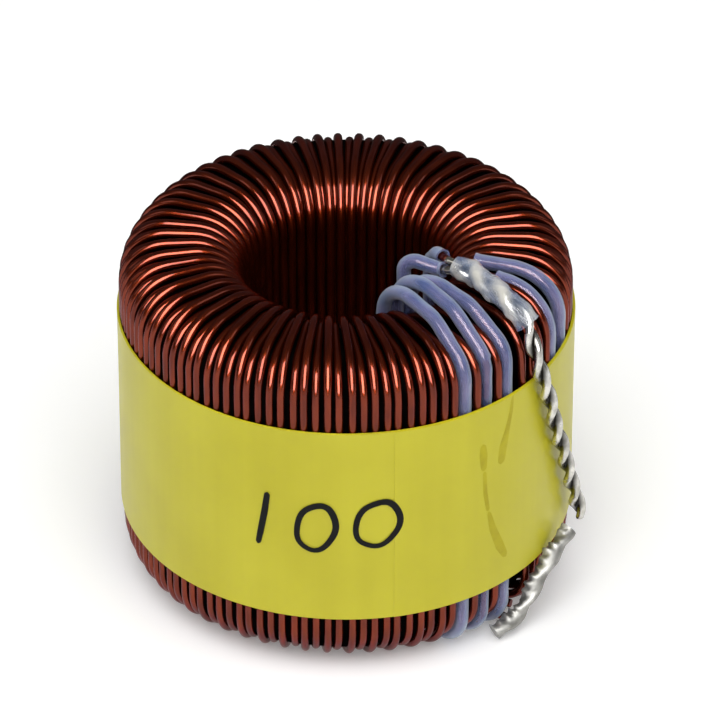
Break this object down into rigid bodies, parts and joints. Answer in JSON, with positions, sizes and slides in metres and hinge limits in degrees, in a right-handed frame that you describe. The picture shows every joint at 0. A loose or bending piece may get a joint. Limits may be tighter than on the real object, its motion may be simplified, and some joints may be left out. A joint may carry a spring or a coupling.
{
  "type": "toroidal inductor",
  "caption": "Toroidal power inductor: stacked ring cores wound with two parallel enamelled wires, bound with tape, with sleeved end turns and twisted tinned leads.",
  "frame": {"origin": "middle of the core stack, on the axis of its hole", "axes": "+Z along the axis of the hole, up; -Y towards the front, where the tape carries its handwritten figures; +X to the right, where both leads are"},
  "size_m": [0.0627, 0.061, 0.0527],
  "materials": {
    "core": "pressed alloy powder ring under a matt epoxy coat",
    "film": "dark wrapped film",
    "enamelled_wire": "red-brown gloss enamel over copper",
    "sleeve": "translucent blue-lilac extruded sleeving",
    "clear_tube": "clear heat-shrink tube",
    "tinned_copper": "bright solder-tinned twisted wire",
    "tape": "satin yellow polyester tape"
  },
  "bodies": {
    "root": {"core_ring_lower": "core", "core_ring_middle": "core", "core_ring_upper": "core", "core_film": "film", "winding_strand_a": "enamelled_wire", "winding_strand_b": "enamelled_wire", "turn_sleeve_front": "sleeve", "turn_sleeve_second": "sleeve", "turn_sleeve_third": "sleeve", "turn_sleeve_right": "sleeve", "turn_sleeve_rear": "sleeve", "end_sleeve_a": "sleeve", "end_sleeve_b": "sleeve", "shrink_tube": "clear_tube", "top_lead": "tinned_copper", "bottom_lead": "tinned_copper", "tape_band": "tape"}
  },
  "joints": []
}
